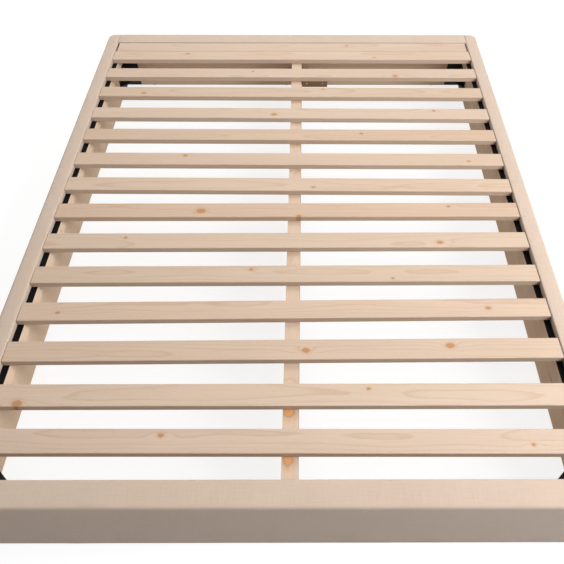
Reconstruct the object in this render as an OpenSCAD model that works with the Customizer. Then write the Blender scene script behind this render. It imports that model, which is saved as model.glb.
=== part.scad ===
// Slatted bed base, queen size: four fabric-covered wooden rails joined by steel corner
// plates, fifteen pine slats on ledger cleats, and a centre rail on levelling feet.
// Origin: centre of the floor rectangle. X is to the right, +Y to the head end, Z up.

/* [Base] */
// Width over the fabric
base_w = 1524; // [1480:1:1600]
// Length over the fabric
base_l = 2032; // [1960:1:2100]
// Height from the floor to the top of the rails
base_h = 203; // [190:1:230]
// Thickness of a side board
side_board_t = 38; // [30:1:45]
// Thickness of a head or foot board
end_board_t = 58.5; // [40:0.5:60]

/* [Cover] */
// Thickness of the cover fabric
cover_t = 1.5; // [1:0.5:2]
// Thickness of the wadding under the cover
pad_t = 6; // [4:0.5:8]
// Outer radius of the corners in plan
corner_r = 28; // [20:1:34]
// Outer radius of the top edges
edge_r = 10; // [9:0.5:14]
// How far the cover is turned in under a rail
hem_w = 24; // [16:1:26]

/* [Slats] */
// Number of evenly spaced slats
slat_n = 14; // [14:1:14]
// Width of a slat
slat_w = 63.5; // [50:0.5:70]
// Thickness of a slat
slat_t = 18; // [16:0.5:20]
// Distance from one slat to the next
slat_pitch = 131; // [120:1:133]
// Distance from the foot end of the base to the first gap's far edge
slat_start = 127.5; // [110:0.5:140]
// How far the slats' tops lie below the top of the rails
slat_drop = 2; // [1:0.5:4]
// Distance from the head end of the base to the middle of the extra slat there
head_slat_in = 101.5; // [101:0.5:102.5]
// How much shorter the extra slat is than the others
head_slat_short = 12; // [0:1:16]
// Clearance between a slat's end and the cover
slat_gap = 2; // [1:0.5:4]

/* [Supports] */
// Width of a ledger cleat
cleat_w = 18; // [16:0.5:22]
// Height of a ledger cleat
cleat_h = 38; // [30:1:45]
// Thickness of the hook-and-loop tape, each half
tape_t = 1.5; // [1:0.25:2]
// Width of the centre rail
centre_w = 38; // [35:1:45]
// Height of the centre rail
centre_h = 140; // [120:1:145]
// Sideways offset of the centre rail
centre_x = 19; // [0:1:20]

/* [Hardware] */
// Thickness of the steel plates
plate_t = 3; // [2:0.5:4]
// Leg of the corner plate's triangular gusset
plate_leg = 112; // [100:1:130]
// Height of the corner plate's flanges
plate_h = 108; // [80:1:112]
// Thread radius of a leg socket
socket_r = 4; // [4:1:4]
// Height of the glides under the rails, up to the wood
glide_h = 5.5; // [5:0.5:6]
// Distance from the middle to the outer levelling feet
foot_pitch = 600; // [400:10:700]
// Radius of a levelling foot's thread
stud_r = 5; // [5:1:5]

/* [Hidden] */
SLATS = ["slat_01", "slat_02", "slat_03", "slat_04", "slat_05", "slat_06", "slat_07",
         "slat_08", "slat_09", "slat_10", "slat_11", "slat_12", "slat_13", "slat_14"];
FEET = ["1", "2", "3"];
$fn = 48;
eps = 0.01;

wood_color = "#dcb98f";
slat_color = "#e6cba4";
fabric_color = "#cdbba9";
wadding_color = "#f0efe9";
steel_color = "#1d1c1b";
zinc_color = "#b9bab8";

half_w = base_w / 2;
half_l = base_l / 2;
skin_t = cover_t + pad_t;
side_t = side_board_t + skin_t;      // from the outer fabric to the side's inner wood face
end_t = end_board_t + skin_t;        // the same for the head and the foot
side_x = half_w - side_t;            // inner wood face of a side board
end_y = half_l - end_t;              // inner wood face of a head or foot board
wood_z0 = glide_h;                   // underside of the boards
cover_z0 = glide_h - cover_t;        // underside of the cover
board_z1 = base_h - skin_t;          // top of the boards
slat_z0 = base_h - slat_drop - slat_t;
cleat_z1 = slat_z0 - 2 * tape_t;     // top of a cleat
lip_z0 = cleat_z1 + tape_t + 0.5;    // lower edge of the cover inside the rails
slat_l = 2 * (side_x - cover_t - slat_gap);
cleat_l = 2 * end_y - 10;
centre_z0 = slat_z0 - centre_h;      // underside of the centre rail
centre_l = 2 * (end_y - plate_t - 1);
joint_gap = 0.5;                     // between the end covers and the side boards

// ---- rails -------------------------------------------------------------------------

// Plan of a side rail in its own frame: x runs outwards from x0 to x1, y along the rail,
// with the two outer corners rounded.
module bar_plan(x0, x1, half_y, r) {
    intersection() {
        translate([x0, -half_y])
            square([x1 - x0, 2 * half_y]);
        union() {
            translate([x0, -half_y])
                square([x1 - x0 - r, 2 * half_y]);
            translate([x0, -half_y + r])
                square([x1 - x0, 2 * (half_y - r)]);
            for (s = [-1, 1])
                translate([x1 - r, s * (half_y - r)])
                    circle(r);
        }
    }
}

// A side rail's outer body: the plan above, with the top edge rounded along the outside
// and round both ends.
module rounded_bar(x0, x1, half_y, r, er, z0, z1) {
    zc = z1 - er;
    translate([0, 0, z0])
        linear_extrude(zc - z0)
            bar_plan(x0, x1, half_y, r);
    translate([0, 0, zc - eps])
        linear_extrude(er + eps)
            bar_plan(x0, x1 - er, half_y - er, r - er);
    translate([x1 - er, 0, zc])
        rotate([90, 0, 0])
            cylinder(r = er, h = 2 * (half_y - r), center = true);
    for (s = [-1, 1]) {
        translate([x0, s * (half_y - er), zc])
            rotate([0, 90, 0])
                cylinder(r = er, h = x1 - r - x0);
        translate([x1 - r, s * (half_y - r), zc])
            rotate([0, 0, s > 0 ? 0 : -90])
                rotate_extrude(angle = 90)
                    intersection() {
                        translate([r - er, 0])
                            circle(er);
                        translate([0, -er])
                            square([r + er, 2 * er]);
                    }
    }
}

module side_board_shape() {
    translate([0, 0, wood_z0])
        linear_extrude(board_z1 - wood_z0)
            bar_plan(0, side_board_t, half_l - skin_t, corner_r - skin_t);
}

module side_wadding_shape() {
    difference() {
        rounded_bar(0, side_board_t + pad_t, half_l - cover_t, corner_r - cover_t,
                    edge_r - cover_t, wood_z0, base_h - cover_t);
        translate([0, 0, wood_z0 - 1])
            linear_extrude(board_z1 - wood_z0 + 1)
                bar_plan(-1, side_board_t, half_l - skin_t, corner_r - skin_t);
    }
}

// The cover goes from its hem under the rail, up the outside, over the top and down the
// inside as far as the cleat.
module side_cover_shape() {
    difference() {
        rounded_bar(-cover_t, side_t, half_l, corner_r, edge_r, cover_z0, base_h);
        rounded_bar(0, side_board_t + pad_t, half_l - cover_t, corner_r - cover_t,
                    edge_r - cover_t, wood_z0, base_h - cover_t);
        translate([-2 * cover_t, -half_l - 1, 0])
            cube([2 * cover_t, base_l + 2, lip_z0]);
        for (s = [-1, 1])
            translate([-2 * cover_t, s * (end_y + end_t / 2) - end_t / 2 - 2.5, 0])
                cube([2 * cover_t, end_t + 5, base_h + 1]);
        translate([-cover_t, -half_l + hem_w, 0])
            cube([side_t + cover_t - hem_w, base_l - 2 * hem_w, wood_z0]);
    }
}

// s = -1 puts a side rail on the left, s = 1 on the right.
module place_side(s) {
    mirror([s < 0 ? 1 : 0, 0, 0])
        translate([side_x, 0, 0])
            children();
}

module side_screw_holes() {
    for (y = cleat_screw_ys())
        translate([-cleat_w - 1, y, cleat_z1 - cleat_h / 2])
            rotate([0, 90, 0])
                cylinder(r = 2.1, h = cleat_w + 26);
    for (s = [-1, 1])
        translate([0, s * end_y, 0])
            for (y = plate_side_ys(), z = plate_screw_zs())
                translate([-1, -s * y, z])
                    rotate([0, 90, 0])
                        cylinder(r = 2.6, h = 31);
}

module left_board() {
    color(wood_color)
        place_side(-1)
            difference() {
                side_board_shape();
                side_screw_holes();
            }
}

module right_board() {
    color(wood_color)
        place_side(1)
            difference() {
                side_board_shape();
                side_screw_holes();
            }
}

module left_wadding() { color(wadding_color) place_side(-1) side_wadding_shape(); }
module right_wadding() { color(wadding_color) place_side(1) side_wadding_shape(); }
module left_cover() { color(fabric_color) place_side(-1) side_cover_shape(); }
module right_cover() { color(fabric_color) place_side(1) side_cover_shape(); }

// Cross-section of an end rail: x runs outwards from the inner wood face, y is up.
module end_profile(x0, x1, z0, z1, er) {
    difference() {
        translate([x0, z0])
            square([x1 - x0, z1 - z0]);
        translate([x1 - er, z1 - er])
            difference() {
                square(er + 1);
                circle(er);
            }
    }
}

// s = 1 puts an end rail at the head, s = -1 at the foot.
module place_end(s, length) {
    mirror([0, s < 0 ? 1 : 0, 0])
        translate([-length / 2, end_y, 0])
            rotate([90, 0, 90])
                linear_extrude(length)
                    children();
}

module end_board_shape(s) {
    difference() {
        place_end(s, 2 * side_x)
            translate([0, wood_z0])
                square([end_board_t, board_z1 - wood_z0]);
        for (m = [-1, 1], x = plate_end_xs(), z = plate_screw_zs())
            translate([m * (side_x - x), s * (end_y - 1), z])
                rotate([-90 * s, 0, 0])
                    cylinder(r = 2.6, h = 36);
        for (x = hanger_screw_xs(), z = hanger_screw_zs())
            translate([centre_x + x, s * (end_y - 1), z])
                rotate([-90 * s, 0, 0])
                    cylinder(r = 2.1, h = 36);
        for (x = block_screw_xs())
            translate([x, s * (end_y - 1), block_z0 + block_h / 2])
                rotate([-90 * s, 0, 0])
                    cylinder(r = 2.1, h = 31);
    }
}

module end_wadding_shape(s) {
    place_end(s, 2 * (side_x - joint_gap))
        difference() {
            end_profile(0, end_t - cover_t, wood_z0, base_h - cover_t, edge_r - cover_t);
            translate([-1, wood_z0 - 1])
                square([end_board_t + 1, board_z1 - wood_z0 + 1]);
        }
}

module end_cover_shape(s) {
    place_end(s, 2 * (side_x - joint_gap))
        difference() {
            end_profile(-cover_t, end_t, cover_z0, base_h, edge_r);
            end_profile(0, end_t - cover_t, wood_z0, base_h - cover_t, edge_r - cover_t);
            translate([-2 * cover_t, 0])
                square([2 * cover_t, lip_z0]);
            translate([-cover_t, 0])
                square([end_t + cover_t - hem_w, wood_z0]);
        }
}

module head_board() { color(wood_color) end_board_shape(1); }
module foot_board() { color(wood_color) end_board_shape(-1); }
module head_wadding() { color(wadding_color) end_wadding_shape(1); }
module foot_wadding() { color(wadding_color) end_wadding_shape(-1); }
module head_cover() { color(fabric_color) end_cover_shape(1); }
module foot_cover() { color(fabric_color) end_cover_shape(-1); }

// ---- slats and what they lie on ------------------------------------------------------

function cleat_screw_ys() = [for (i = [-3.5:1:3.5]) i * cleat_l / 8];
// The slats are laid by hand. How far each lies from its even place, towards the head, and
// how much nearer to the head its right end lies than its left end.
slat_shift = [3.5, 5, 3, -2.5, -0.5, -5, -4.5, 4.5, 3, 0, 1, -1, -4.5, 2.5];
slat_skew = [0, -3, -7, -9, -7, -6, -9, 4, 6, 7, 15, 11, 2, -3];
// Slat 1 is nearest the head. This is the middle of slat i, counted from 1.
function slat_y(i) = -half_l + slat_start + (slat_n - i) * slat_pitch + slat_w / 2
                     + slat_shift[i - 1];
head_slat_y = half_l - head_slat_in;

module cleat(s) {
    place_side(s)
        difference() {
            translate([-cleat_w, -cleat_l / 2, cleat_z1 - cleat_h])
                cube([cleat_w, cleat_l, cleat_h]);
            for (y = cleat_screw_ys())
                translate([-cleat_w, y, cleat_z1 - cleat_h / 2])
                    rotate([0, 90, 0]) {
                        translate([0, 0, -1])
                            cylinder(r = 2.1, h = cleat_w + 2);
                        translate([0, 0, -eps])
                            cylinder(r = 4.1, h = 3 + eps);
                    }
        }
}

module left_cleat() { color(wood_color) cleat(-1); }
module right_cleat() { color(wood_color) cleat(1); }

module tape(s) {
    place_side(s)
        translate([-cleat_w, -cleat_l / 2, cleat_z1])
            cube([cleat_w, cleat_l, tape_t]);
}

module left_tape() { color(steel_color) tape(-1); }
module right_tape() { color(steel_color) tape(1); }

module slat_pads(s) {
    pad_w = cleat_w - cover_t - slat_gap;
    for (y = concat([for (i = [1:slat_n]) slat_y(i) + s * slat_skew[i - 1] / 2], [head_slat_y]))
        place_side(s)
            translate([-cleat_w, y - slat_w / 2 + 2, cleat_z1 + tape_t])
                cube([pad_w, slat_w - 4, tape_t]);
}

module left_slat_pads() { color(steel_color) slat_pads(-1); }
module right_slat_pads() { color(steel_color) slat_pads(1); }

// A planed slat with its long edges eased.
module slat_bar(y, length, skew) {
    ease = 2;
    color(slat_color)
        translate([0, y, slat_z0 + slat_t / 2])
            rotate([90, 0, 90 + asin(skew / length)])
                translate([0, 0, -length / 2])
                    linear_extrude(length)
                        union() {
                            square([slat_w, slat_t - 2 * ease], center = true);
                            square([slat_w - 2 * ease, slat_t], center = true);
                            for (a = [-1, 1], b = [-1, 1])
                                translate([a * (slat_w / 2 - ease), b * (slat_t / 2 - ease)])
                                    circle(ease, $fn = 24);
                        }
}

module slat(i) { slat_bar(slat_y(i), slat_l, slat_skew[i - 1]); }
module head_slat() { slat_bar(head_slat_y, slat_l - head_slat_short, 0); }

function foot_ys() = [-foot_pitch, 0, foot_pitch];
nut_r = 6.4;
nut_z1 = centre_z0 + 12;

module centre_rail() {
    color(wood_color)
        difference() {
            translate([centre_x - centre_w / 2, -centre_l / 2, centre_z0])
                cube([centre_w, centre_l, centre_h]);
            for (y = foot_ys())
                translate([centre_x, y, centre_z0 - 1]) {
                    cylinder(r = nut_r + 0.1, h = nut_z1 - centre_z0 + 1);
                    cylinder(r = stud_r + 0.6, h = 54);
                }
        }
}

// ---- steel hanger at each end of the centre rail --------------------------------------

hanger_w = 26;                       // width of a hanger's screwed flange
hanger_z1 = centre_z0 + 42;
function hanger_screw_xs() = [for (m = [-1, 1]) m * (centre_w / 2 + plate_t + hanger_w / 2)];
function hanger_screw_zs() = [centre_z0 + 10, centre_z0 + 30];

module hanger(s) {
    cheek_l = 45;
    z0 = centre_z0 - plate_t;
    color(steel_color)
        translate([centre_x, s * end_y, 0])
            mirror([0, s > 0 ? 1 : 0, 0])
                difference() {
                    union() {
                        for (m = [-1, 1]) {
                            translate([m * (centre_w + plate_t) / 2 - plate_t / 2, 0, z0])
                                cube([plate_t, cheek_l, hanger_z1 - z0]);
                            translate([m * (centre_w + hanger_w + 2 * plate_t) / 2
                                       - hanger_w / 2, 0, z0])
                                cube([hanger_w, plate_t, hanger_z1 - z0]);
                        }
                        translate([-centre_w / 2 - plate_t, 0, z0])
                            cube([centre_w + 2 * plate_t, cheek_l, plate_t]);
                        translate([-centre_w / 2 - plate_t, 0, z0])
                            cube([centre_w + 2 * plate_t, plate_t, hanger_z1 - z0]);
                    }
                    for (x = hanger_screw_xs(), z = hanger_screw_zs())
                        translate([x, -1, z])
                            rotate([-90, 0, 0])
                                cylinder(r = 2.3, h = plate_t + 2);
                }
}

module head_hanger() { hanger(1); }
module foot_hanger() { hanger(-1); }

// ---- packing block beside the centre rail, low on each end board ------------------------

block_w = 108;
block_t = 18;
block_h = 32;
block_z0 = wood_z0 + 1;
block_x0 = centre_x + centre_w / 2 + 1;
function block_screw_xs() = [block_x0 + 20, block_x0 + block_w - 20];

module packing_block(s) {
    color("#6f553a")
        difference() {
            translate([block_x0, s > 0 ? end_y - block_t : -end_y, block_z0])
                cube([block_w, block_t, block_h]);
            for (x = block_screw_xs())
                translate([x, s * (end_y - block_t), block_z0 + block_h / 2])
                    rotate([-90 * s, 0, 0]) {
                        translate([0, 0, -1])
                            cylinder(r = 2.1, h = block_t + 2);
                        translate([0, 0, -eps])
                            cylinder(r = 4.1, h = 3 + eps);
                    }
        }
}

module head_block() { packing_block(1); }
module foot_block() { packing_block(-1); }

// ---- corner plates ----------------------------------------------------------------------

plate_z0 = wood_z0 + 3;
gusset_z0 = plate_z0 + 52;           // underside of the triangular gusset
plate_side_l = 104;                  // flange along the side board
plate_end_l = 62;                    // flange along the end board
socket_x = 34;                       // leg socket, from both inner faces
nut_h = 6.5;
function plate_side_ys() = [30, 80];
function plate_end_xs() = [22, 48];
function plate_screw_zs() = [plate_z0 + 22, plate_z0 + 88];

// Two upright flanges with a horizontal gusset half way up, which carries the leg socket.
// The corner lies at the origin; the plate spreads to +x and +y.
module corner_plate_shape() {
    difference() {
        union() {
            translate([0, 0, gusset_z0])
                linear_extrude(plate_t)
                    polygon([[0, 0], [plate_leg, 0], [0, plate_leg]]);
            translate([0, 0, plate_z0])
                cube([plate_t, plate_side_l, plate_h]);
            translate([0, 0, plate_z0])
                cube([plate_end_l, plate_t, plate_h]);
            translate([socket_x, socket_x, gusset_z0])
                cylinder(r = 7.5, h = plate_t + nut_h, $fn = 6);
        }
        translate([socket_x, socket_x, gusset_z0 - 1])
            cylinder(r = socket_r, h = plate_t + nut_h + 2);
        for (y = plate_side_ys(), z = plate_screw_zs())
            translate([-1, y, z])
                rotate([0, 90, 0])
                    cylinder(r = 2.8, h = plate_t + 2);
        for (x = plate_end_xs(), z = plate_screw_zs())
            translate([x, plate_t + 1, z])
                rotate([90, 0, 0])
                    cylinder(r = 2.8, h = plate_t + 2);
    }
}

// sx and sy give the corner: -1, -1 is the front left.
module place_corner(sx, sy) {
    translate([sx * side_x, sy * end_y, 0])
        mirror([sx > 0 ? 1 : 0, 0, 0])
            mirror([0, sy > 0 ? 1 : 0, 0])
                children();
}

module corner_plate(sx, sy) {
    color(steel_color)
        place_corner(sx, sy)
            corner_plate_shape();
}

module corner_plate_fl() { corner_plate(-1, -1); }
module corner_plate_fr() { corner_plate(1, -1); }
module corner_plate_bl() { corner_plate(-1, 1); }
module corner_plate_br() { corner_plate(1, 1); }

// ---- screws -----------------------------------------------------------------------------

// A pan-head screw: the head stands at z < 0 and the shank runs to +z.
module pan_screw(r, length, head_r, head_h) {
    cylinder(r = r, h = length);
    translate([0, 0, -head_h])
        cylinder(r1 = head_r * 0.8, r2 = head_r, h = head_h, $fn = 32);
}

module plate_screws() {
    color(steel_color)
        for (sx = [-1, 1], sy = [-1, 1])
            place_corner(sx, sy) {
                for (y = plate_side_ys(), z = plate_screw_zs())
                    translate([plate_t, y, z])
                        rotate([0, -90, 0])
                            pan_screw(2.5, 30, 5.5, 2.6);
                for (x = plate_end_xs(), z = plate_screw_zs())
                    translate([x, plate_t, z])
                        rotate([90, 0, 0])
                            pan_screw(2.5, 30, 5.5, 2.6);
            }
}

module flush_screw(length) {
    translate([0, 0, 0.2])
        cylinder(r = 4, h = 2.8);
    cylinder(r = 2, h = length);
}

module cleat_screws() {
    color(zinc_color)
        for (s = [-1, 1])
            place_side(s)
                for (y = cleat_screw_ys())
                    translate([-cleat_w, y, cleat_z1 - cleat_h / 2])
                        rotate([0, 90, 0])
                            flush_screw(cleat_w + 24);
}

module hanger_screws() {
    color(zinc_color)
        for (s = [-1, 1], x = hanger_screw_xs(), z = hanger_screw_zs())
            translate([centre_x + x, s * (end_y - plate_t), z])
                rotate([-90 * s, 0, 0])
                    pan_screw(2, 34, 4.5, 2.2);
}

module block_screws() {
    color(zinc_color)
        for (s = [-1, 1], x = block_screw_xs())
            translate([x, s * (end_y - block_t), block_z0 + block_h / 2])
                rotate([-90 * s, 0, 0])
                    flush_screw(block_t + 28);
}

// ---- glides and levelling feet -------------------------------------------------------------

module glides() {
    inset = 10;
    glide_r = 9;
    color(steel_color) {
        for (s = [-1, 1], y = [-900, -300, 300, 900])
            translate([s * (side_x + inset), y, 0])
                cylinder(r = glide_r, h = wood_z0);
        for (s = [-1, 1], x = [-600, -30, 600])
            translate([x, s * (end_y + inset + 6), 0])
                cylinder(r = glide_r, h = wood_z0);
    }
}

// Threaded insert nuts in the underside of the centre rail.
module foot_nuts() {
    flange_t = 1.5;
    color(zinc_color)
        for (y = foot_ys())
            translate([centre_x, y, 0])
                difference() {
                    union() {
                        translate([0, 0, centre_z0])
                            cylinder(r = nut_r, h = nut_z1 - centre_z0);
                        translate([0, 0, centre_z0 - flange_t])
                            cylinder(r = 12, h = flange_t);
                    }
                    translate([0, 0, centre_z0 - flange_t - 1])
                        cylinder(r = stud_r + 0.05, h = nut_z1 - centre_z0 + flange_t + 2);
                }
}

base_h0 = 8;                         // height of a foot's disc
base_h1 = 13;                        // height of its collar
stud_z0 = 5;

module foot_base(i) {
    color(steel_color)
        translate([centre_x, foot_ys()[i], 0])
            difference() {
                union() {
                    cylinder(r = 20, h = base_h0 - 2);
                    translate([0, 0, base_h0 - 2])
                        cylinder(r = 17, h = 2);
                    cylinder(r = 9, h = base_h1);
                }
                translate([0, 0, stud_z0 - 0.1])
                    cylinder(r = stud_r + 0.05, h = base_h1);
            }
}

module foot_stud(i) {
    color(zinc_color)
        translate([centre_x, foot_ys()[i], 0]) {
            translate([0, 0, stud_z0])
                cylinder(r = stud_r, h = 72);
            translate([0, 0, base_h1 + 1])
                cylinder(r = 9.8, h = 7, $fn = 6);
        }
}

head_board();
foot_board();
left_board();
right_board();
head_wadding();
foot_wadding();
left_wadding();
right_wadding();
head_cover();
foot_cover();
left_cover();
right_cover();
left_cleat();
right_cleat();
left_tape();
right_tape();
left_slat_pads();
right_slat_pads();
for (i = [1:slat_n])
    slat(i);
head_slat();
centre_rail();
head_hanger();
foot_hanger();
head_block();
foot_block();
corner_plate_fl();
corner_plate_fr();
corner_plate_bl();
corner_plate_br();
plate_screws();
cleat_screws();
hanger_screws();
block_screws();
glides();
foot_nuts();
for (i = [0:2])
    foot_base(i);
for (i = [0:2])
    foot_stud(i);
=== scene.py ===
import math
import random

import bmesh
import bpy
import numpy as np
from mathutils import Matrix, Vector, noise


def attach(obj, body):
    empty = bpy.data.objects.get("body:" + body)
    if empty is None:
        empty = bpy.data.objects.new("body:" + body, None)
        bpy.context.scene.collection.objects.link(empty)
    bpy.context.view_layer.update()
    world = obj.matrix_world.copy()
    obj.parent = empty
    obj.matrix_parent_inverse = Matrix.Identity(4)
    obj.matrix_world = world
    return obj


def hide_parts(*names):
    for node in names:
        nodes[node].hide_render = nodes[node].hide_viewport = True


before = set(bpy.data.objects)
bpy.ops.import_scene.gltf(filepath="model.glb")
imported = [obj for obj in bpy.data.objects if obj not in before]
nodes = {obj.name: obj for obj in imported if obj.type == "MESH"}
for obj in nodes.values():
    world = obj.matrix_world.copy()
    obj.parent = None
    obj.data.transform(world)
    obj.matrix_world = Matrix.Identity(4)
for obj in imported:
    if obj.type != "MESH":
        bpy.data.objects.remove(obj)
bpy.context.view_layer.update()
scene = bpy.context.scene

# ---- sizes in metres, the same as in the CAD -----------------------------------------------
HALF_W, HALF_L, TOP = 0.762, 1.016, 0.203
COVER_T = 0.0015
SIDE_T, END_T = 0.0455, 0.066          # from the outer cloth to a board's inner face
SIDE_X, END_Y = HALF_W - SIDE_T, HALF_L - END_T
COVER_Z0, WOOD_Z0 = 0.004, 0.0055      # undersides of the covers and of the wadding
LIP_Z0 = 0.182                         # lower edge of the cloth inside the rails
CORNER_R = 0.028
HEM = 0.024
SLAT_N, PITCH, SLAT_W, SLAT_T = 14, 0.131, 0.0635, 0.018
SLAT_START = 0.1275                    # outside of the foot to the edge of the last slat
SLAT_TOP = TOP - 0.002
SLAT_Z = SLAT_TOP - SLAT_T / 2
CENTRE_X = 0.019
HEAD_SLAT_Y = HALF_L - 0.1015
SLAT_SHIFT_MM = (3.5, 5, 3, -2.5, -0.5, -5, -4.5, 4.5, 3, 0, 1, -1, -4.5, 2.5)   # off its even place

# ---- sizes of the looks only ---------------------------------------------------------------
EDGE_R = 0.0068                        # rounding of the cloth over a rail's outer edges
PAD_R = 0.0085                         # the same of the wadding
CLOTH_T, FLUFF_T = 0.0011, 0.0048      # thickness of the cloth and of the wadding
PAD_GAP = 0.0004                       # between the wadding and the cloth over it
KNOT_SIZE = 0.62                       # of the radii in SLATS


def slat_y(i):
    """Middle of slat i. Slat 1 is nearest the head."""
    return -HALF_L + SLAT_START + (SLAT_N - i) * PITCH + SLAT_W / 2 + SLAT_SHIFT_MM[i - 1] / 1000


# ---- shader helpers ----------------------------------------------------------------------
class Tree:
    """A thin wrapper that makes shader nodes and links them by value or by socket."""

    def __init__(self, tree):
        self.t = tree

    def put(self, socket, value):
        if isinstance(value, bpy.types.NodeSocket):
            self.t.links.new(value, socket)
        elif value is not None:
            socket.default_value = value

    def node(self, kind, inputs=None, **props):
        n = self.t.nodes.new(kind)
        for k, v in props.items():
            setattr(n, k, v)
        for k, v in (inputs or {}).items():
            self.put(n.inputs[k], v)
        return n

    def math(self, op, a, b=None):
        n = self.node("ShaderNodeMath", operation=op)
        self.put(n.inputs[0], a)
        self.put(n.inputs[1], b)
        return n.outputs[0]

    def times(self, a, b):
        return self.math("MULTIPLY", a, b)

    def plus(self, a, b):
        return self.math("ADD", a, b)

    def less(self, a, b):
        return self.math("SUBTRACT", a, b)

    def sway(self, fac, amount):
        """A noise value made to swing evenly about zero."""
        return self.times(self.less(fac, 0.5), amount)

    def vector(self, x, y, z):
        return self.node("ShaderNodeCombineXYZ", {0: x, 1: y, 2: z}).outputs[0]

    def split(self, v):
        return self.node("ShaderNodeSeparateXYZ", {0: v}).outputs

    def place(self):
        """The point in the piece's own frame, which is the row frame at rest."""
        return self.node("ShaderNodeTexCoord").outputs["Object"]

    def noise(self, v, scale, detail=3.0, rough=0.5, w=None):
        """A noise value. With w, a field of its own for each w."""
        n = self.node("ShaderNodeTexNoise",
                      {"Vector": v, "Scale": scale, "Detail": detail, "Roughness": rough})
        if w is not None:
            n.noise_dimensions = "4D"
            self.put(n.inputs["W"], w)
        return n.outputs["Fac"]

    def ramp(self, fac, stops):
        n = self.node("ShaderNodeValToRGB", {"Fac": fac})
        e = n.color_ramp.elements
        while len(e) < len(stops):
            e.new(0.5)
        for el, (pos, col) in zip(e, stops):
            el.position = pos
            el.color = (*col, 1.0) if len(col) == 3 else col
        return n.outputs["Color"]

    def mix(self, fac, a, b, mode="MIX"):
        n = self.node("ShaderNodeMix", data_type="RGBA", blend_type=mode)
        self.put(n.inputs["Factor"], fac)
        for socket, v in ((n.inputs[6], a), (n.inputs[7], b)):
            self.put(socket, (*v, 1.0) if isinstance(v, tuple) and len(v) == 3 else v)
        return n.outputs[2]

    def tint(self, col, by):
        return self.mix(1.0, col, by, "MULTIPLY")

    def remap(self, v, a, b, c, d, smooth=False):
        """Takes a..b to c..d, held at both ends."""
        n = self.node("ShaderNodeMapRange",
                      {"Value": v, "From Min": a, "From Max": b, "To Min": c, "To Max": d})
        if smooth:
            n.interpolation_type = "SMOOTHSTEP"
        return n.outputs["Result"]

    def grey(self, v):
        return self.node("ShaderNodeCombineColor", {0: v, 1: v, 2: v}).outputs[0]


def lin(r, g, b):
    """An sRGB colour, 0 to 255, as linear values."""
    def one(c):
        return c / 12.92 if c <= 0.04045 else ((c + 0.055) / 1.055) ** 2.4
    return one(r / 255), one(g / 255), one(b / 255)


def scaled(colour, k):
    return tuple(x * k for x in colour)


def blend(p, q, k):
    """The colour that is k of the way from p to q."""
    return tuple(x + (y - x) * k for x, y in zip(p, q))


def material(name, rough=0.6):
    m = bpy.data.materials.new(name)
    m.use_nodes = True
    bsdf = m.node_tree.nodes["Principled BSDF"]
    bsdf.inputs["Roughness"].default_value = rough
    return m, Tree(m.node_tree), bsdf


def bump(t, height, distance, strength, normal=None):
    """A bumped normal, on top of another one if it is given."""
    b = t.node("ShaderNodeBump", {"Height": height, "Distance": distance, "Strength": strength})
    t.put(b.inputs["Normal"], normal)
    return b.outputs["Normal"]


def finish(t, bsdf, colour, rough=None, normal=None, **more):
    """Plugs a material's colour, roughness and normal in, with any other inputs by name."""
    t.put(bsdf.inputs["Base Color"], colour)
    t.put(bsdf.inputs["Roughness"], rough)
    t.put(bsdf.inputs["Normal"], normal)
    for k, v in more.items():
        bsdf.inputs[k.replace("_", " ")].default_value = v


# ---- wood ----------------------------------------------------------------------------------
KNOT_SQUASH = 0.72       # a knot is longer along the grain by the inverse of this
KNOT_RAGGED = 0.006
KNOT_REACH = 0.35        # along the grain, a knot's push on the rings dies off this much more slowly


def knot_group():
    """One knot: how far a point is from it, as the mask, the rim and the push on the grain."""
    g = bpy.data.node_groups.new("knot", "ShaderNodeTree")
    for n in ("A", "B", "KA", "KB", "R"):
        g.interface.new_socket(n, in_out="INPUT", socket_type="NodeSocketFloat")
    for n in ("Mask", "Rim", "Push", "Halo", "Dist"):
        g.interface.new_socket(n, in_out="OUTPUT", socket_type="NodeSocketFloat")
    t = Tree(g)
    i = t.node("NodeGroupInput").outputs
    o = t.node("NodeGroupOutput").inputs
    da = t.times(t.less(i["A"], i["KA"]), KNOT_SQUASH)
    db = t.less(i["B"], i["KB"])
    ragged = t.sway(t.noise(t.vector(i["A"], i["B"], 0.0), 90.0, 2.0), KNOT_RAGGED)
    d = t.math("SQRT", t.plus(t.times(da, da), t.times(db, db)))
    d = t.math("DIVIDE", t.plus(d, ragged), i["R"])
    t.put(o["Dist"], d)
    t.put(o["Mask"], t.remap(d, 0.62, 1.12, 1.0, 0.0, True))
    t.put(o["Rim"], t.times(t.remap(d, 0.75, 1.0, 0.0, 1.0, True), t.remap(d, 1.0, 1.25, 1.0, 0.0, True)))
    t.put(o["Halo"], t.remap(d, 0.9, 2.6, 1.0, 0.0, True))
    along = t.times(da, KNOT_REACH)
    dd = t.plus(t.times(along, along), t.times(db, db))
    e = t.math("EXPONENT", t.math("DIVIDE", t.times(dd, -1.0), t.times(t.times(i["R"], i["R"]), 2.2)))
    t.put(o["Push"], t.times(e, t.times(i["R"], 1.1)))
    return g


KNOT = knot_group()


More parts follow.
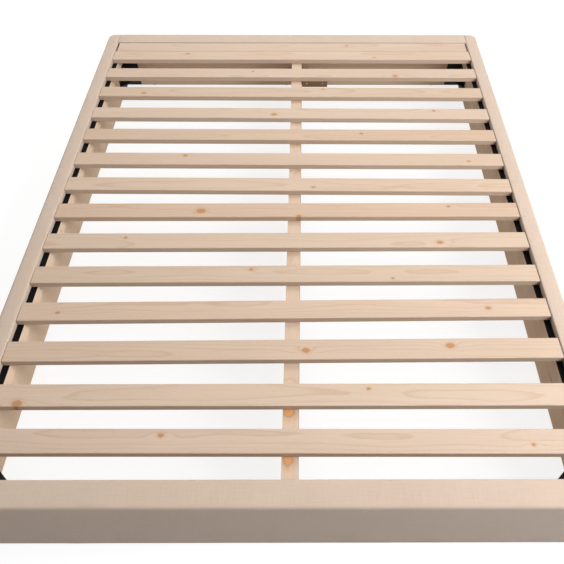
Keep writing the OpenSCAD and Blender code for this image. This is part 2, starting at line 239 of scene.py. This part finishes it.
def wood(name, seed, axis="X", light=lin(194, 172, 153), dark=lin(172, 144, 116), ring=0.0056,
         pith=(0.01, -0.035), contrast=0.40, knots=(), knot_col=lin(166, 116, 70), rough=0.62,
         tint=(1.0, 1.0, 1.0), centre=(0.0, 0.0), wear=0.3):
    """Flat-sawn softwood. The growth rings are cylinders round a wandering pith that runs along
    axis; knots are (along, across, radius) in the row frame and push the rings aside."""
    m, t, bsdf = material(name)
    off = random.Random(seed).uniform(-40, 40)
    x, y, c = t.split(t.place())
    a, b = (x, y) if axis == "X" else (y, x)

    def grain(along, across):
        return t.vector(t.times(a, along), t.times(b, across), t.times(c, across))

    # the rings, by distance from the pith
    slow = t.vector(t.times(a, 1.3), 0.0, 0.0)
    bb = t.plus(t.less(b, centre[0] + pith[0]), t.sway(t.noise(slow, 1.0, 2.0, 0.5, w=off), 0.05))
    cc = t.plus(t.less(c, centre[1] + pith[1]), t.sway(t.noise(slow, 1.0, 2.0, 0.5, w=off + 7.3), 0.045))
    rad = t.math("SQRT", t.plus(t.times(bb, bb), t.times(cc, cc)))
    fine = grain(5.0, 40.0)
    rad = t.plus(rad, t.sway(t.noise(fine, 1.0, 3.0, 0.6, w=off), 0.0035))
    outs = []
    for ka, kb, kr in knots:
        k = t.node("ShaderNodeGroup", node_tree=KNOT)
        for n, v in (("A", a), ("B", b), ("KA", ka), ("KB", kb), ("R", kr)):
            t.put(k.inputs[n], v)
        outs.append(k.outputs)
        rad = t.plus(rad, k.outputs["Push"])
    turn = t.math("DIVIDE", rad, ring)
    band = t.math("FRACT", t.plus(turn, t.times(t.noise(fine, 0.35, 2.0, 0.5, w=off + 3.1), 0.5)))
    early = scaled(light, 0.985)
    middle = blend(light, blend(light, dark, 0.45), contrast * 0.6)
    late = blend(light, dark, contrast)
    col = t.ramp(band, [(0.0, light), (0.55, early), (0.80, middle),
                        (0.92, late), (0.955, late), (1.0, light)])

    # fibres, broad colour and pores
    streak = t.noise(grain(6.0, 420.0), 1.0, 4.0, 0.65, w=off)
    col = t.tint(col, t.grey(t.remap(streak, 0.2, 0.8, 0.90, 1.06)))
    broad = t.noise(grain(2.2, 14.0), 1.0, 3.0, 0.5, w=off + 11)
    col = t.mix(t.remap(broad, 0.3, 0.75, 0.0, 0.45), col, t.tint(col, (0.95, 0.89, 0.81)))
    flecks = t.noise(grain(60.0, 900.0), 1.0, 2.0, 0.5, w=off)
    col = t.mix(t.remap(flecks, 0.62, 0.74, 0.0, 0.28), col, scaled(dark, 0.55))

    # the knots' own colours
    for o in outs:
        col = t.mix(t.times(o["Halo"], 0.55), col, t.tint(col, (0.98, 0.78, 0.55)))
        rings = t.math("FRACT", t.times(o["Dist"], 3.7))
        core = t.ramp(rings, [(0.0, scaled(knot_col, 1.25)), (0.7, knot_col), (1.0, scaled(knot_col, 0.72))])
        col = t.mix(t.times(o["Mask"], 0.88), col, core)
        col = t.mix(t.times(o["Rim"], 0.38), col, scaled(knot_col, 0.34))

    smudge = t.noise(grain(7.0, 22.0), 1.0, 5.0, 0.6, w=off + 20)
    col = t.mix(t.remap(smudge, 0.58, 0.80, 0.0, wear), col, t.tint(col, (0.84, 0.80, 0.76)))
    height = t.plus(t.times(streak, 0.6), t.times(t.remap(band, 0.7, 0.95, 0.0, 1.0, True), 0.4))
    finish(t, bsdf, t.tint(col, tint), t.remap(streak, 0.2, 0.8, rough - 0.08, rough + 0.12),
           bump(t, height, 0.00035, 0.7), Specular_IOR_Level=0.32)
    return m


# ---- cloth and the like ---------------------------------------------------------------------
YARN = 0.0013            # from one warp yarn to the next


def cloth(name):
    """Plain-woven upholstery cloth on a map in metres, with slubs along both threads."""
    m, t, bsdf = material(name)
    s = t.split(t.node("ShaderNodeUVMap", uv_map="weave").outputs["UV"])
    pos = t.place()

    def on_map(ku, kv, z):
        return t.vector(t.times(s[0], ku), t.times(s[1], kv), z)

    stray = t.sway(t.noise(on_map(30.0, 30.0, 0.0), 1.0, 2.0), 0.0009)
    su = t.math("SINE", t.times(t.math("DIVIDE", t.plus(s[0], stray), YARN), math.pi))
    sv = t.math("SINE", t.times(t.math("DIVIDE", t.plus(s[1], stray), YARN * 1.08), math.pi))
    over = t.math("GREATER_THAN", t.times(su, sv), 0.0)
    under = t.less(1.0, over)
    yarn_u = t.math("POWER", t.math("ABSOLUTE", su), 0.6)
    yarn_v = t.math("POWER", t.math("ABSOLUTE", sv), 0.6)
    height = t.plus(t.times(yarn_u, over), t.times(yarn_v, under))
    slub_u = t.noise(on_map(700.0, 18.0, 0.0), 1.0, 2.0, 0.6)
    slub_v = t.noise(on_map(18.0, 700.0, 5.0), 1.0, 2.0, 0.6)
    slub = t.plus(t.times(slub_u, over), t.times(slub_v, under))
    # The slubs' own tone, plus painted shade where the yarns dip under each other and a faint painted
    # highlight on their crowns.
    slub_tone_and_weave_shade = t.plus(t.remap(slub, 0.25, 0.75, 0.88, 1.08), t.remap(height, 0.0, 1.0, -0.10, 0.03))
    col = t.tint(lin(194, 172, 153), t.grey(slub_tone_and_weave_shade))
    broad = t.noise(pos, 9.0, 4.0, 0.55)
    col = t.mix(t.remap(broad, 0.35, 0.7, 0.0, 0.5), col, t.tint(col, (0.955, 0.945, 0.93)))
    dust = t.noise(pos, 60.0, 3.0, 0.6)
    col = t.mix(t.remap(dust, 0.5, 0.85, 0.0, 0.25), col, t.tint(col, (0.93, 0.92, 0.90)))
    soft = bump(t, t.noise(pos, 24.0, 3.0, 0.5), 0.0012, 0.25)
    finish(t, bsdf, col, t.remap(slub, 0.2, 0.8, 0.82, 0.96), bump(t, height, 0.0004, 0.55, soft),
           Sheen_Weight=0.18, Sheen_Roughness=0.5, Specular_IOR_Level=0.18)
    return m


def fluff(name):
    """White polyester wadding."""
    m, t, bsdf = material(name, 0.95)
    pos = t.place()
    tufts = t.noise(pos, 55.0, 6.0, 0.7)
    hair = t.noise(pos, 300.0, 4.0, 0.7)
    finish(t, bsdf, t.ramp(tufts, [(0.2, lin(222, 221, 214)), (0.8, lin(246, 245, 240))]),
           normal=bump(t, t.plus(tufts, t.times(hair, 0.5)), 0.002, 0.6), Sheen_Weight=0.3)
    return m


def hook_tape(name):
    """Black hook-and-loop tape: a felt of tiny loops with lint in it."""
    m, t, bsdf = material(name, 0.9)
    pos = t.place()
    loops = t.node("ShaderNodeTexVoronoi", {"Vector": pos, "Scale": 900.0}).outputs["Distance"]
    lint = t.noise(pos, 240.0, 4.0, 0.7)
    col = t.ramp(loops, [(0.1, lin(22, 21, 20)), (0.8, lin(9, 8, 8))])
    col = t.mix(t.remap(lint, 0.62, 0.80, 0.0, 0.2), col, lin(70, 65, 60))
    finish(t, bsdf, col, normal=bump(t, loops, 0.0007, 0.8), Specular_IOR_Level=0.1)
    return m


def powder_coat(name):
    """Black powder-coated steel: orange peel, a few rubbed places showing lighter."""
    m, t, bsdf = material(name)
    pos = t.place()
    peel = t.noise(pos, 420.0, 3.0, 0.5)
    rub = t.noise(pos, 26.0, 6.0, 0.7)
    col = t.ramp(peel, [(0.2, lin(15, 14, 14)), (0.8, lin(25, 24, 24))])
    col = t.mix(t.remap(rub, 0.66, 0.78, 0.0, 0.4), col, lin(60, 58, 57))
    finish(t, bsdf, col, t.remap(rub, 0.3, 0.7, 0.38, 0.58), bump(t, peel, 0.0002, 0.35))
    return m


def zinc(name, thread=None):
    """Bright zinc plate with a faint yellow bloom; thread is the pitch of a thread along Z."""
    m, t, bsdf = material(name)
    pos = t.place()
    bloom = t.noise(pos, 70.0, 5.0, 0.6)
    fine = t.noise(pos, 900.0, 3.0, 0.6)
    if thread:
        saw = t.math("PINGPONG", t.math("DIVIDE", t.split(pos)[2], thread / 2), 1.0)
        normal = bump(t, fine, 0.00005, 0.3, bump(t, saw, thread * 0.5, 0.9))
    else:
        normal = bump(t, fine, 0.00008, 0.4)
    col = t.ramp(bloom, [(0.3, lin(196, 197, 196)), (0.55, lin(178, 179, 180)), (0.8, lin(168, 160, 138))])
    finish(t, bsdf, col, t.remap(bloom, 0.3, 0.7, 0.24, 0.46), normal, Metallic=1.0)
    return m


def plastic(name):
    """Black moulded plastic, scuffed."""
    m, t, bsdf = material(name)
    pos = t.place()
    grit = t.noise(pos, 700.0, 3.0, 0.6)
    scuff = t.noise(pos, 45.0, 6.0, 0.7)
    col = t.ramp(scuff, [(0.35, lin(30, 30, 31)), (0.62, lin(38, 38, 38)), (0.85, lin(70, 68, 65))])
    finish(t, bsdf, col, t.remap(scuff, 0.3, 0.8, 0.42, 0.68), bump(t, grit, 0.00012, 0.4))
    return m


# ---- wood pieces: CAD nodes with their own grain ------------------------------------------
def dress(names, mat):
    for name in names.split():
        o = nodes[name]
        o.data.materials.clear()
        o.data.materials.append(mat)


# Each slat's own tint, pith and knots. A knot is (x, offset across the slat, radius).
SLATS = [
    ((1.02, 0.99, 0.96), (0.012, -0.050), [(-0.42, 0.012, 0.007), (0.33, -0.016, 0.006)]),
    ((1.00, 0.98, 0.95), (-0.020, -0.035), [(0.40, -0.022, 0.010), (-0.15, 0.010, 0.005)]),
    ((0.98, 0.95, 0.90), (0.006, -0.060), [(-0.55, -0.008, 0.008), (0.12, 0.018, 0.005)]),
    ((1.01, 1.00, 0.98), (0.022, -0.028), [(-0.059, -0.008, 0.011), (0.52, 0.014, 0.007)]),
    ((0.97, 0.92, 0.85), (-0.010, -0.042), [(0.25, 0.006, 0.007)]),
    ((1.00, 0.97, 0.93), (0.030, -0.025), [(-0.35, 0.018, 0.008), (0.60, -0.012, 0.006)]),
    ((1.02, 0.99, 0.95), (-0.005, -0.055), [(0.08, -0.014, 0.006)]),
    ((0.99, 0.92, 0.86), (0.015, -0.030),
     [(-0.268, -0.005, 0.015), (0.035, -0.028, 0.008), (0.50, 0.016, 0.006)]),
    ((1.00, 0.98, 0.94), (-0.018, -0.048), [(0.452, -0.009, 0.010), (-0.48, 0.010, 0.006)]),
    ((0.98, 0.96, 0.92), (0.008, -0.036), [(-0.10, 0.016, 0.007), (0.30, -0.018, 0.005)]),
    ((1.01, 0.97, 0.93), (0.026, -0.044), [(0.55, 0.004, 0.008), (-0.61, -0.012, 0.006)]),
    ((0.99, 0.96, 0.92), (-0.012, -0.030), [(0.056, -0.003, 0.011), (0.428, 0.012, 0.012)]),
    ((1.02, 1.00, 0.97), (0.004, -0.052), [(-0.639, -0.024, 0.013), (0.21, 0.016, 0.006)]),
    ((1.00, 0.98, 0.96), (0.020, -0.034), [(-0.28, 0.014, 0.008), (0.58, -0.010, 0.006)]),
]
for i, (tint, pith, knots) in enumerate(SLATS, 1):
    y = slat_y(i)
    pine = wood(f"pine_{i:02d}", 100 + i, tint=tint, pith=pith, centre=(y, SLAT_Z),
                knots=[(x, y + d, r * KNOT_SIZE) for x, d, r in knots], ring=0.0052 + 0.0004 * (i % 5))
    dress(f"slat_{i:02d}", pine)
pine = wood("pine_head", 100, tint=(1.0, 0.985, 0.965), pith=(0.014, -0.04), centre=(HEAD_SLAT_Y, SLAT_Z),
            knots=[(0.22, HEAD_SLAT_Y + 0.01, 0.004)])
dress("head_slat", pine)
pine = wood("pine_centre", 31, "Y", pith=(0.004, -0.06), centre=(CENTRE_X, 0.11), ring=0.006,
            tint=(1.03, 0.98, 0.92), knot_col=lin(204, 142, 88),
            knots=[(-0.765, CENTRE_X - 0.004, 0.012), (-0.893, CENTRE_X - 0.004, 0.010),
                   (0.30, CENTRE_X + 0.008, 0.008), (-0.30, CENTRE_X + 0.006, 0.007)])
dress("centre_rail", pine)

# Boards and cleats: node, seed, axis, pith, middle of the section, ring.
RAW_BOARDS = [
    ("left_board", 41, "Y", (0.03, 0.02), (-SIDE_X, 0.1), 0.0075),
    ("right_board", 42, "Y", (-0.03, -0.02), (SIDE_X, 0.1), 0.0075),
    ("head_board", 43, "X", (0.03, 0.03), (END_Y, 0.1), 0.008),
    ("foot_board", 44, "X", (-0.03, 0.01), (-END_Y, 0.1), 0.008),
    ("left_cleat", 45, "Y", (0.02, -0.03), (-SIDE_X, 0.16), 0.005),
    ("right_cleat", 46, "Y", (-0.02, 0.03), (SIDE_X, 0.16), 0.005),
]
for name, seed, axis, pith, centre, ring in RAW_BOARDS:
    side, kind = name.split("_")
    raw = wood(f"{kind}_{side}", seed, axis, lin(218, 192, 166), lin(190, 158, 126), ring, pith, 0.8,
               rough=0.72, centre=centre, wear=0.5)
    dress(name, raw)
for end, seed, s in (("head", 51, 1), ("foot", 52, -1)):
    dark = wood("block_" + end, seed, light=lin(142, 112, 78), dark=lin(96, 70, 44), ring=0.003, rough=0.7,
                pith=(0.02 * s, 0.03), centre=(s * END_Y, 0.02))
    dress(end + "_block", dark)

ZINC = zinc("zinc")
THREAD_PITCH = 0.0015
dress("left_tape right_tape left_slat_pads right_slat_pads", hook_tape("hook_tape"))
dress("head_hanger foot_hanger corner_plate_fl corner_plate_fr corner_plate_bl corner_plate_br plate_screws",
      powder_coat("powder_coat"))
dress("cleat_screws hanger_screws block_screws foot_nuts", ZINC)
dress("glides foot_base_1 foot_base_2 foot_base_3", plastic("plastic"))
dress("foot_stud_1 foot_stud_2 foot_stud_3", zinc("zinc_thread", THREAD_PITCH))


# ---- cloth covers and wadding ---------------------------------------------------------------
FINE_STEPS = [0.0, 0.0004, 0.0012, 0.0024, 0.0040, 0.0060, 0.0085, 0.0120, 0.0165, 0.0215, 0.0270]
FOLD_R = 0.0022          # where the cloth turns under a rail
RAGGED = 0.0012          # how uneven the cut edge of a hem is
BULGE = 0.0009           # of an outer face between its top and its bottom
WAVE, RIPPLE = 0.0007, 0.00022   # the slow and the quick unevenness of the padding
SIDE_SHEET, END_SHEET = (0.30, 2.25), (0.32, 1.60)   # the covers laid flat


def steps(lo, hi, fine_lo, fine_hi, gap):
    """Grid positions from lo to hi: even in the middle, closer together at both ends."""
    a = [lo + v for v in FINE_STEPS if v <= fine_lo]
    b = [hi - v for v in FINE_STEPS if v <= fine_hi][::-1]
    n = max(1, round((b[0] - a[-1]) / gap))
    return a[:-1] + [a[-1] + (b[0] - a[-1]) * k / n for k in range(n)] + b


def fall(d, r):
    """How far a rounded edge of radius r has dropped at distance d in from the edge."""
    d = max(0.0, min(d, r))
    return r - math.sqrt(max(0.0, r * r - (r - d) ** 2))


def rail_skin(name, place, mat, width, half, z0, top, seed, corner=0.0, er=EDGE_R, seam_r=None,
              lip=None, foot_from=None, hem=0.0, inner_r=0.003, crown=0.0012, gap=0.009):
    """The skin of one rail in its own frame: u along the rail, w from the inner edge (0) to the
    outer face (width). The top is a grid, and the walls hang from its rim. place(w, u, z) gives
    the point in the row frame. seam_r rounds ends that meet other covers; without it the ends
    are outer faces. lip is how low the skin comes on the inner face, and past foot_from it
    comes down to z0. The object's map, in metres, carries the weave."""
    ws = steps(0.0, width, inner_r + 0.001, max(er, corner), 0.006)
    us = steps(-half, half, max(corner, er), max(corner, er), gap)
    last_u, last_w = len(us) - 1, len(ws) - 1
    verts, uvs, faces, rim = [], [], [], {}

    def plan(w, u):
        """Rounds the plan's outer corners, ring by ring, along each point's ray."""
        cw, cu = width - corner, half - corner
        if min(w, width - w, half - abs(u)) < corner and w > cw and abs(u) > cu:
            v = Vector((w - cw, abs(u) - cu))
            if v.length > 1e-9:
                v = v / v.length * max(v.x, v.y)
            return cw + v.x, math.copysign(cu + v.y, u)
        return w, u

    def add(w, u, z, uv, out=(0, 0, 1), rough=1.0):
        """Adds a point, moved along out by the small unevenness of the padding."""
        a = noise.noise(Vector((w * 9 + seed, u * 9, z * 14)))
        b = noise.noise(Vector((w * 45 + seed, u * 45, z * 45 + 9)))
        k = (a * WAVE + b * RIPPLE) * rough
        verts.append(place(w + out[0] * k, u + out[1] * k, z + out[2] * k))
        uvs.append(uv)
        return len(verts) - 1

    grid = []
    for i, u in enumerate(us):
        grid.append([])
        for j, w in enumerate(ws):
            d_front, d_end, t = width - w, half - abs(u), w / width
            if seam_r is None:
                drop = fall(min(d_front, d_end), er)
            else:
                drop = fall(d_front, er) + fall(d_end, seam_r)
            arch = 4 * t * (1 - t)
            z = top - drop - fall(w, inner_r) + crown * arch * min(1.0, d_end / 0.03)
            pw, pu = plan(w, u)
            grid[i].append(add(pw, pu, z, (u, width - w), rough=min(1.0, arch + 0.25)))
            rim[(i, j)] = (pw, pu, z)
    for i in range(last_u):
        for j in range(last_w):
            faces.append((grid[i][j], grid[i + 1][j], grid[i + 1][j + 1], grid[i][j + 1]))

    def wall(path, outward, uv_of, z_end, hem_in=0.0, bulge=0.0, rows=6):
        """Hangs a wall from rim points. A hem turns under at the bottom, to a ragged edge."""
        rings = [(k / rows, 0.0, 0.0) for k in range(1, rows + 1)]      # share of the drop, inset, lift
        if hem_in:
            rings[-1] = (1.0, 0.0, FOLD_R)
            rings += [(1.0, FOLD_R * (1 - math.cos(a)), FOLD_R * (1 - math.sin(a)))
                      for a in (math.pi / 6, math.pi / 3, math.pi / 2)]
            rings += [(1.0, FOLD_R + (hem_in - FOLD_R) * k / 4, 0.0) for k in (1, 2, 3, 4)]
        above = [grid[i][j] for i, j in path]
        for f, inset, lift in rings:
            row = []
            for q in path:
                pw, pu, zt = rim[q]
                nw, nu = outward(q)
                out = bulge * math.sin(math.pi * f) - inset
                if inset and inset >= hem_in * 0.99:
                    out += RAGGED * noise.noise(Vector((pu * 60 + seed, pw * 60, 3.0)))
                z = zt + (z_end + lift - zt) * f
                row.append(add(pw + nw * out, pu + nu * out, z, uv_of(q, zt - z + inset), (nw, nu, 0.0),
                               0.0 if inset else 1.0))
            for k in range(len(path) - 1):
                faces.append((above[k], row[k], row[k + 1], above[k + 1]))
            above = row

    def from_rail(q):
        """Direction away from the rail at a rim point, along the arc at a rounded corner."""
        pw, pu, _ = rim[q]
        cw, cu = width - corner, half - corner
        if corner > 0 and pw > cw - 1e-9 and abs(pu) > cu - 1e-9:
            v = Vector((pw - cw, math.copysign(abs(pu) - cu, pu)))
            if v.length > 1e-6:
                v.normalize()
                return v.x, v.y
        return (1.0, 0.0) if q[1] == last_w else (0.0, math.copysign(1.0, pu))

    def inwards(_):
        return -1.0, 0.0

    if seam_r is None:
        path = ([(0, j) for j in range(last_w + 1)] + [(i, last_w) for i in range(1, last_u + 1)]
                + [(last_u, j) for j in range(last_w - 1, -1, -1)])
        run, length, before = {}, 0.0, Vector(rim[path[0]][:2])
        for q in path:
            here = Vector(rim[q][:2])
            length += (here - before).length
            run[q], before = length, here
        wall(path, from_rail, lambda q, d: (run[q], -d), z0, hem, BULGE, 16)
    else:
        wall([(i, last_w) for i in range(last_u + 1)], from_rail, lambda q, d: (us[q[0]], -d), z0, hem,
             BULGE, 16)
        for i, way in ((0, -1), (last_u, 1)):
            wall([(i, j) for j in range(last_w + 1)][::way], lambda q, n=float(way): (0.0, n),
                 lambda q, d: (ws[q[1]], -d), z0)
    if lip is not None:
        path = [(i, 0) for i in range(last_u, -1, -1)]
        wall(path, inwards, lambda q, d: (us[q[0]], width + d), lip, bulge=0.0004, rows=5)
        if foot_from is not None:
            for way in (1, -1):
                wall([q for q in path if rim[q][1] * way > foot_from], inwards,
                     lambda q, d: (us[q[0]], width + d), z0)

    me = bpy.data.meshes.new(name)
    me.from_pydata([tuple(v) for v in verts], [], faces)
    layer = me.uv_layers.new(name="weave")
    loops = np.zeros(len(me.loops), np.int32)
    me.loops.foreach_get("vertex_index", loops)
    layer.data.foreach_set("uv", np.array(uvs, np.float32)[loops].ravel())
    me.polygons.foreach_set("use_smooth", [True] * len(me.polygons))
    me.validate()
    me.materials.append(mat)
    o = bpy.data.objects.new(name, me)
    scene.collection.objects.link(o)
    facing_out(o)
    return o


def facing_out(o):
    """Makes every face look away from the rail's middle, so thickness goes inwards."""
    bm = bmesh.new()
    bm.from_mesh(o.data)
    bmesh.ops.remove_doubles(bm, verts=bm.verts, dist=1e-6)
    bmesh.ops.recalc_face_normals(bm, faces=bm.faces)
    on_top = [f for f in bm.faces if f.calc_center_median().z > TOP - 0.004]
    if sum(f.normal.z * f.calc_area() for f in on_top) < 0:
        bmesh.ops.reverse_faces(bm, faces=bm.faces)
    bm.to_mesh(o.data)
    bm.free()


def thicken(o, t):
    mod = o.modifiers.new("thickness", "SOLIDIFY")
    mod.thickness, mod.offset = t, -1.0


def side_place(s, shift, seam_shift):
    """A side rail's frame. Where the end rails meet it, its inner edge is moved out by
    seam_shift, which comes in over 4 mm along the rail and dies off over 20 mm across it."""
    def place(w, u, z):
        near_end = min(1.0, max(0.0, (abs(u) - (END_Y - 0.006)) / 0.004))
        return s * (SIDE_X + shift + w + near_end * seam_shift * max(0.0, 1 - w / 0.02)), u, z
    return place


def end_place(s, shift):
    def place(w, u, z):
        return u, s * (END_Y + shift + w), z
    return place


CLOTH, FLUFF = cloth("cover_cloth"), fluff("wadding")
PAD = dict(mat=FLUFF, z0=WOOD_Z0, top=TOP - COVER_T - PAD_GAP, er=PAD_R, inner_r=0.002, crown=0.0008,
           gap=0.02)
SKIN = dict(mat=CLOTH, z0=COVER_Z0, top=TOP, lip=LIP_Z0, hem=HEM)
covers, pads = [], []
for s, side in ((-1, "left"), (1, "right")):
    o = rail_skin(f"{side}_cover_cloth", side_place(s, -COVER_T, COVER_T + 0.0002), width=SIDE_T + COVER_T,
                  half=HALF_L, corner=CORNER_R, foot_from=END_Y - 0.0005, seed=3.0 + s, **SKIN)
    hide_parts(f"{side}_cover")
    covers.append((o, side, SIDE_SHEET))
    w = rail_skin(f"{side}_wadding_layer", side_place(s, 0.0, 0.0), width=SIDE_T - COVER_T - 0.0003,
                  half=HALF_L - COVER_T - 0.0002, corner=CORNER_R - COVER_T, seed=3.0 + s, **PAD)
    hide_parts(f"{side}_wadding")
    pads.append((w, side))
for s, side in ((-1, "foot"), (1, "head")):
    o = rail_skin(f"{side}_cover_cloth", end_place(s, -COVER_T), width=END_T + COVER_T, half=SIDE_X - 0.0005,
                  seam_r=0.003, seed=8.0 + s, **SKIN)
    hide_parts(f"{side}_cover")
    covers.append((o, side, END_SHEET))
    w = rail_skin(f"{side}_wadding_layer", end_place(s, 0.0), width=END_T - COVER_T - 0.0003,
                  half=SIDE_X - 0.004, seam_r=0.002, seed=8.0 + s, **PAD)
    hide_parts(f"{side}_wadding")
    pads.append((w, side))

for o, side, (wide, long) in covers:
    thicken(o, CLOTH_T)
    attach(o, "frame")
for o, side in pads:
    thicken(o, FLUFF_T)
    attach(o, "frame")


# ---- staples that hold the covers ------------------------------------------------------------
STAPLE_PITCH = 0.045
STAPLE_IN = HEM - 0.006          # from a rail's outer face
STAPLE_HALF = 0.0055


def staples(name, spots):
    """The crown wires of upholstery staples, sunk into the cloth. spots are (point, along)."""
    verts, faces = [], []
    w, sunk, proud = 0.00055, -0.0005, 0.0006
    out = Vector((0, 0, -1))
    for p, along in spots:
        p, along = Vector(p), Vector(along).normalized()
        side = along.cross(out)
        base = len(verts)
        for e in (-STAPLE_HALF, STAPLE_HALF):
            for q, r in ((-w, sunk), (w, sunk), (w, proud), (-w, proud)):
                verts.append(tuple(p + along * e + side * q + out * r))
        for k in range(4):
            a, b = base + k, base + (k + 1) % 4
            faces.append((a, b, b + 4, a + 4))
        faces += [(base + 3, base + 2, base + 1, base), (base + 4, base + 5, base + 6, base + 7)]
    me = bpy.data.meshes.new(name)
    me.from_pydata(verts, [], faces)
    me.materials.append(ZINC)
    o = bpy.data.objects.new(name, me)
    scene.collection.objects.link(o)
    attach(o, "frame")
    return o


rnd = random.Random(5)
spots = []
for s in (-1, 1):
    y = -0.96
    while y < 0.96:
        spots.append(((s * (HALF_W - STAPLE_IN + rnd.uniform(-0.001, 0.001)), y, COVER_Z0),
                      (rnd.uniform(-0.12, 0.12), 1, 0)))
        y += STAPLE_PITCH + rnd.uniform(-0.004, 0.004)
    x = -0.69
    while x < 0.69:
        spots.append(((x, s * (HALF_L - STAPLE_IN + rnd.uniform(-0.001, 0.001)), COVER_Z0),
                      (1, rnd.uniform(-0.12, 0.12), 0)))
        x += STAPLE_PITCH + rnd.uniform(-0.004, 0.004)
staples("hem_staples", spots)

# ---- floor, light, camera ----------------------------------------------------------------------
FLOOR_HALF = 14
FLOOR_GLOW, FLOOR_GLOW_SEEN = 0.40, 0.80       # what the floor gives off, and as the camera sees it
SKY, SKY_SEEN = 0.12, 0.90                     # the same of the backdrop


def seen_or_not(t, unseen, seen):
    return t.remap(t.node("ShaderNodeLightPath").outputs["Is Camera Ray"], 0.0, 1.0, unseen, seen)


f = FLOOR_HALF
me = bpy.data.meshes.new("floor")
me.from_pydata([(-f, -f, 0), (f, -f, 0), (f, f, 0), (-f, f, 0)], [], [(0, 1, 2, 3)])
floor = bpy.data.objects.new("floor", me)
scene.collection.objects.link(floor)
fm = bpy.data.materials.new("floor")
fm.use_nodes = True
ft = Tree(fm.node_tree)
fm.node_tree.nodes.remove(fm.node_tree.nodes["Principled BSDF"])
paper = ft.node("ShaderNodeBsdfDiffuse", {"Color": (0.24, 0.238, 0.235, 1)})
glow = ft.node("ShaderNodeEmission",
               {"Color": (1, 1, 1, 1), "Strength": seen_or_not(ft, FLOOR_GLOW, FLOOR_GLOW_SEEN)})
both = ft.node("ShaderNodeAddShader", {0: paper.outputs[0], 1: glow.outputs[0]})
ft.put(fm.node_tree.nodes["Material Output"].inputs["Surface"], both.outputs[0])
me.materials.append(fm)

world = bpy.data.worlds.new("studio")
scene.world = world
world.use_nodes = True
sky = world.node_tree.nodes["Background"]
sky.inputs[0].default_value = (1, 1, 1, 1)
wt = Tree(world.node_tree)
wt.put(sky.inputs[1], seen_or_not(wt, SKY, SKY_SEEN))


def softbox(name, loc, aim, size, power, colour):
    """A square area light at loc, turned to look at aim."""
    light = bpy.data.lights.new(name, "AREA")
    light.shape, light.size = "SQUARE", size
    light.energy, light.color = power, colour
    o = bpy.data.objects.new(name, light)
    o.location = loc
    o.rotation_euler = (Vector(aim) - Vector(loc)).to_track_quat("-Z", "Y").to_euler()
    scene.collection.objects.link(o)


softbox("key", (2.9, -1.5, 2.35), (0.5, -0.5, 0.1), 1.8, 186, (0.95, 0.99, 1.05))
softbox("back", (-0.2, 3.0, 3.0), (0.0, 0.5, 0.1), 2.4, 105, (0.99, 1.0, 1.02))
softbox("top", (0.3, 0.3, 4.2), (0, 0, 0), 4.0, 64, (1.0, 1.0, 0.99))

# The camera stands over the foot end, a little right of the middle, looking down the bed.
CAM_AT = (0.0577, -1.5941, 1.5885)
cam = bpy.data.cameras.new("camera")
cam_o = bpy.data.objects.new("camera", cam)
scene.collection.objects.link(cam_o)
scene.camera = cam_o
cam.sensor_width, cam.lens = 36.0, 42.30
cam.shift_x = -0.0492
cam.clip_start, cam.clip_end = 0.01, 60.0
down, yaw, roll = math.radians(48.456), math.radians(-0.4236), math.radians(0.2993)
fwd = Vector((-math.sin(yaw) * math.cos(down), math.cos(yaw) * math.cos(down), -math.sin(down)))
level = Vector((math.cos(yaw), math.sin(yaw), 0.0))
over = level.cross(fwd)
right = level * math.cos(roll) + over * math.sin(roll)
up = -level * math.sin(roll) + over * math.cos(roll)
turn = Matrix((right, up, -fwd)).transposed().to_4x4()
cam_o.matrix_world = Matrix.Translation(CAM_AT) @ turn

scene.view_settings.view_transform = "Standard"
scene.view_settings.look = "None"
scene.view_settings.exposure = 0.0
